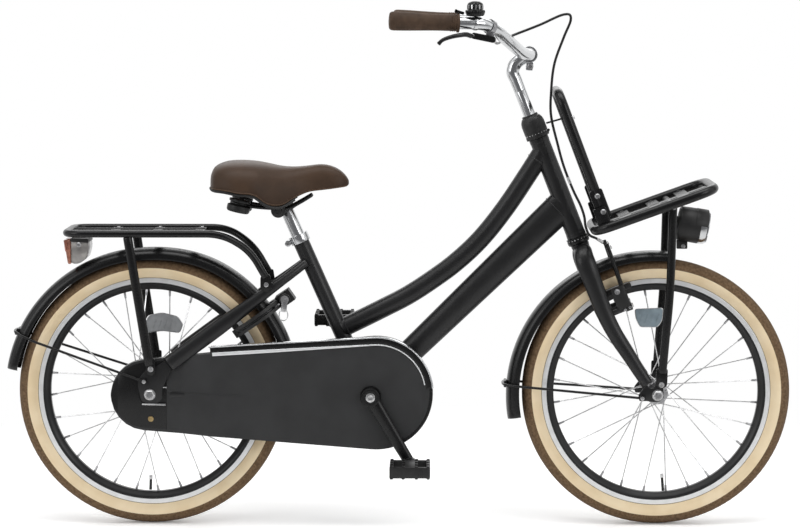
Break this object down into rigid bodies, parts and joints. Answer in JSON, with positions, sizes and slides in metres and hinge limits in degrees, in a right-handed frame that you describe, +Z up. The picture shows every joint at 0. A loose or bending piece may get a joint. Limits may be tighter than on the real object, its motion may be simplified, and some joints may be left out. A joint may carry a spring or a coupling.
{
  "type": "city bicycle",
  "caption": "Small city bicycle with a swept low frame, full chain case, front and rear carriers, mudguards, coaster hub, rim brake, ring lock, lights, bell and folding stand.",
  "frame": {"origin": "on the floor, under the middle of the bounding box of the bicycle standing upright with its wheels in line", "axes": "+X forward, towards the front wheel; +Y to the rider's left; +Z up"},
  "size_m": [1.4644, 0.5546, 0.9777],
  "materials": {
    "satin_black": "satin",
    "gloss_black": "gloss",
    "bright_chrome": "polished",
    "rim_metal": "satin",
    "plain_steel": "satin",
    "case_panel": "matt, finely grained",
    "black_plastic": "matt",
    "cable_cover": "gloss",
    "tyre_rubber": "matt, brown tread and cream sides",
    "grip_brown": "matt, finely ribbed",
    "saddle_cover": "satin",
    "clear_lens": "clear",
    "tail_lens": "gloss, tinted"
  },
  "bodies": {
    "frame": {"head_tube": "satin_black", "headset_lower_cup": "gloss_black", "headset_upper_cup": "gloss_black", "bottom_bracket_shell": "satin_black", "seat_tube": "satin_black", "top_tube": "satin_black", "down_tube": "satin_black", "chainstay_right": "satin_black", "chainstay_left": "satin_black", "seatstay_right": "satin_black", "seatstay_left": "satin_black", "seat_clamp": "bright_chrome", "rear_mudguard": "gloss_black", "rear_mudguard_stay": "gloss_black", "rear_carrier": "gloss_black", "tail_light_housing": "black_plastic", "tail_light_lens": "tail_lens", "ring_lock_case": "black_plastic", "chaincase": "case_panel", "chaincase_trim": "bright_chrome", "chain": "plain_steel", "rear_axle": "plain_steel", "coaster_brake_arm": "plain_steel"},
    "steering": {"fork": "satin_black", "stem": "bright_chrome", "handlebar": "bright_chrome", "grip_right": "grip_brown", "grip_left": "grip_brown", "headset_cover": "black_plastic", "bell": "gloss_black", "brake_lever_bracket": "gloss_black", "brake_cable": "cable_cover", "front_carrier": "gloss_black", "front_carrier_backrest": "gloss_black", "headlight_housing": "black_plastic", "headlight_lens": "clear_lens", "front_mudguard": "gloss_black", "front_mudguard_stay": "gloss_black", "front_axle": "plain_steel"},
    "front_wheel": {"front_tyre": "tyre_rubber", "front_rim": "rim_metal", "front_hub_and_spokes": "plain_steel"},
    "rear_wheel": {"rear_tyre": "tyre_rubber", "rear_rim": "rim_metal", "rear_hub_and_spokes": "plain_steel"},
    "cranks": {"crank_right": "gloss_black", "crank_left": "gloss_black", "chainring": "plain_steel"},
    "sprocket": {"rear_sprocket": "plain_steel"},
    "right_pedal": {"pedal_right": "black_plastic"},
    "left_pedal": {"pedal_left": "black_plastic"},
    "lever": {"brake_lever": "gloss_black"},
    "right_brake": {"brake_arm_right": "gloss_black"},
    "left_brake": {"brake_arm_left": "gloss_black"},
    "bell_thumb_lever": {"bell_lever": "gloss_black"},
    "saddle_post": {"seatpost": "bright_chrome", "saddle_frame": "black_plastic", "saddle": "saddle_cover"},
    "stand": {"kickstand": "gloss_black"},
    "shackle": {"ring_lock_shackle": "plain_steel"}
  },
  "joints": [
    {"name": "steering_turn", "type": "hinge", "parent": "frame", "child": "steering", "pos_m": [0.3333, 0, 0.54], "axis": [-0.3665, 0, 0.9304], "range_deg": [-45, 45]},
    {"name": "front_wheel_spin", "type": "hinge", "parent": "steering", "child": "front_wheel", "pos_m": [0.482, 0, 0.25], "axis": [0, 1, 0], "continuous": true},
    {"name": "rear_wheel_spin", "type": "hinge", "parent": "frame", "child": "rear_wheel", "pos_m": [-0.46, 0, 0.25], "axis": [0, 1, 0], "continuous": true},
    {"name": "crank_turn", "type": "hinge", "parent": "frame", "child": "cranks", "pos_m": [-0.05, 0, 0.248], "axis": [0, 1, 0], "continuous": true},
    {"name": "sprocket_turn", "type": "hinge", "parent": "frame", "child": "sprocket", "pos_m": [-0.46, 0, 0.25], "axis": [0, 1, 0], "continuous": true},
    {"name": "right_pedal_turn", "type": "hinge", "parent": "cranks", "child": "right_pedal", "pos_m": [0.02352, -0.136, 0.12418], "axis": [0, 1, 0], "continuous": true},
    {"name": "left_pedal_turn", "type": "hinge", "parent": "cranks", "child": "left_pedal", "pos_m": [-0.12352, 0.136, 0.37182], "axis": [0, 1, 0], "continuous": true},
    {"name": "lever_pull", "type": "hinge", "parent": "steering", "child": "lever", "pos_m": [0.14, -0.24, 0.9145], "axis": [-0.2159, 0.7318, -0.6465], "range_deg": [0, 10], "stiffness_Nm_per_rad": 1.5, "springref_deg": -8.59},
    {"name": "right_brake_close", "type": "hinge", "parent": "steering", "child": "right_brake", "pos_m": [0.428, -0.04, 0.414], "axis": [-0.9304, 0, -0.3665], "range_deg": [0, 3]},
    {"name": "left_brake_close", "type": "hinge", "parent": "steering", "child": "left_brake", "pos_m": [0.428, 0.04, 0.414], "axis": [0.9304, 0, 0.3665], "range_deg": [0, 3]},
    {"name": "bell_push", "type": "hinge", "parent": "steering", "child": "bell_thumb_lever", "pos_m": [0.13937, -0.2409, 0.96], "axis": [0, 0, 1], "range_deg": [0, 25], "stiffness_Nm_per_rad": 0.05, "springref_deg": -11.46},
    {"name": "saddle_height", "type": "slide", "parent": "frame", "child": "saddle_post", "axis": [-0.4049, 0, 0.9144], "range_m": [-0.038, 0.07]},
    {"name": "stand_swing", "type": "hinge", "parent": "frame", "child": "stand", "pos_m": [-0.14, 0.058, 0.224], "axis": [0, -0.9074, -0.4202], "range_deg": [0, 90]},
    {"name": "lock_close", "type": "hinge", "parent": "frame", "child": "shackle", "pos_m": [-0.26504, 0, 0.38651], "axis": [0.5736, 0, -0.8192], "range_deg": [0, 84]}
  ],
  "couplings": [
    {"joint": "sprocket_turn", "follows": "crank_turn", "ratio": 2},
    {"joint": "right_brake_close", "follows": "lever_pull", "ratio": 0.3},
    {"joint": "left_brake_close", "follows": "lever_pull", "ratio": 0.3}
  ]
}
